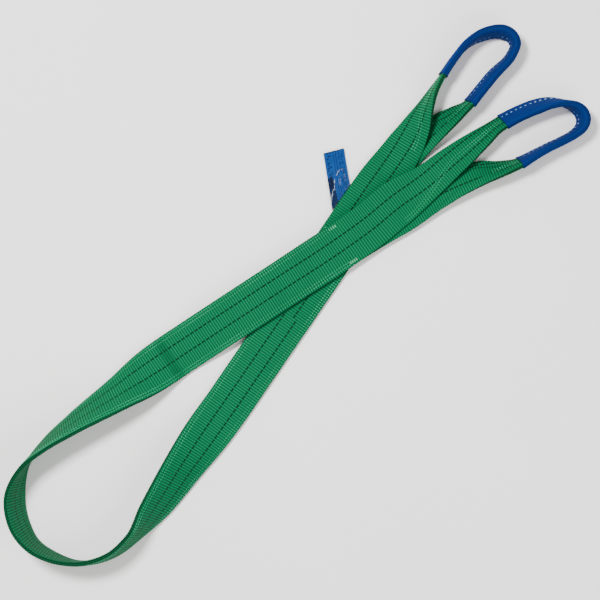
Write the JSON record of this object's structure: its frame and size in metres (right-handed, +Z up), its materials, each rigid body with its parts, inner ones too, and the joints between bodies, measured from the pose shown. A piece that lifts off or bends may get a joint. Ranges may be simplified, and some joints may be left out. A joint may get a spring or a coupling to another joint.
{
  "type": "flat web sling",
  "caption": "Green flat duplex web sling doubled back on itself with its legs crossed, folded soft eyes in blue wear sleeves and a blue tag.",
  "frame": {"origin": "middle of the bottom of the whole sling as it lies, on the surface that it lies on", "axes": "+X from the bight towards the eyes, +Y to the left of that, towards leg A's eye, +Z up"},
  "size_m": [0.9004, 0.2168, 0.0604],
  "materials": {
    "webbing": "ribbed polyester webbing, matt",
    "webbing_thread": "pale green polyester sewing thread",
    "sleeve": "woven polyester tube, slightly glossy",
    "sleeve_thread": "pale blue polyester sewing thread",
    "tag": "woven label tape, satin",
    "clear_film": "clear vinyl film"
  },
  "bodies": {
    "bight_and_leg_a": {"bight_face_ply": "webbing", "bight_back_ply": "webbing", "bight_outer_edge_seam": "webbing_thread", "bight_inner_edge_seam": "webbing_thread", "leg_a_face_ply": "webbing", "leg_a_back_ply": "webbing", "leg_a_outer_edge_seam": "webbing_thread", "leg_a_inner_edge_seam": "webbing_thread", "leg_a_left_end_tack": "webbing_thread", "leg_a_right_end_tack": "webbing_thread", "tag_tab": "tag"},
    "leg_b": {"leg_b_face_ply": "webbing", "leg_b_back_ply": "webbing", "leg_b_outer_edge_seam": "webbing_thread", "leg_b_inner_edge_seam": "webbing_thread", "leg_b_left_end_tack": "webbing_thread", "leg_b_right_end_tack": "webbing_thread"},
    "eye_a": {"eye_a_webbing": "webbing", "eye_a_wear_sleeve": "sleeve", "eye_a_sleeve_seam": "sleeve_thread", "eye_a_upper_fold_seam": "webbing_thread", "eye_a_lower_fold_seam": "webbing_thread"},
    "eye_b": {"eye_b_webbing": "webbing", "eye_b_wear_sleeve": "sleeve", "eye_b_sleeve_seam": "sleeve_thread", "eye_b_upper_fold_seam": "webbing_thread", "eye_b_lower_fold_seam": "webbing_thread"},
    "tag": {"tag_flap": "tag", "tag_clear_cover": "clear_film"}
  },
  "joints": [
    {"name": "leg_b_fold", "type": "hinge", "parent": "bight_and_leg_a", "child": "leg_b", "pos_m": [-0.14517, 0.0555, 0.0078], "axis": [-0.1942, -0.981, 0], "range_deg": [0, 60]},
    {"name": "eye_b_fold", "type": "hinge", "parent": "leg_b", "child": "eye_b", "pos_m": [0.10988, 0.005, 0.0159], "axis": [-0.1942, -0.981, 0], "range_deg": [0, 90]},
    {"name": "eye_a_fold", "type": "hinge", "parent": "bight_and_leg_a", "child": "eye_a", "pos_m": [0.24324, 0.03918, 0.0078], "axis": [0.1942, -0.981, 0], "range_deg": [0, 90]},
    {"name": "tag_flip", "type": "hinge", "parent": "bight_and_leg_a", "child": "tag", "pos_m": [0.14421, 0.05045, 0.0046], "axis": [0.981, 0.1942, 0], "range_deg": [0, 90]}
  ]
}
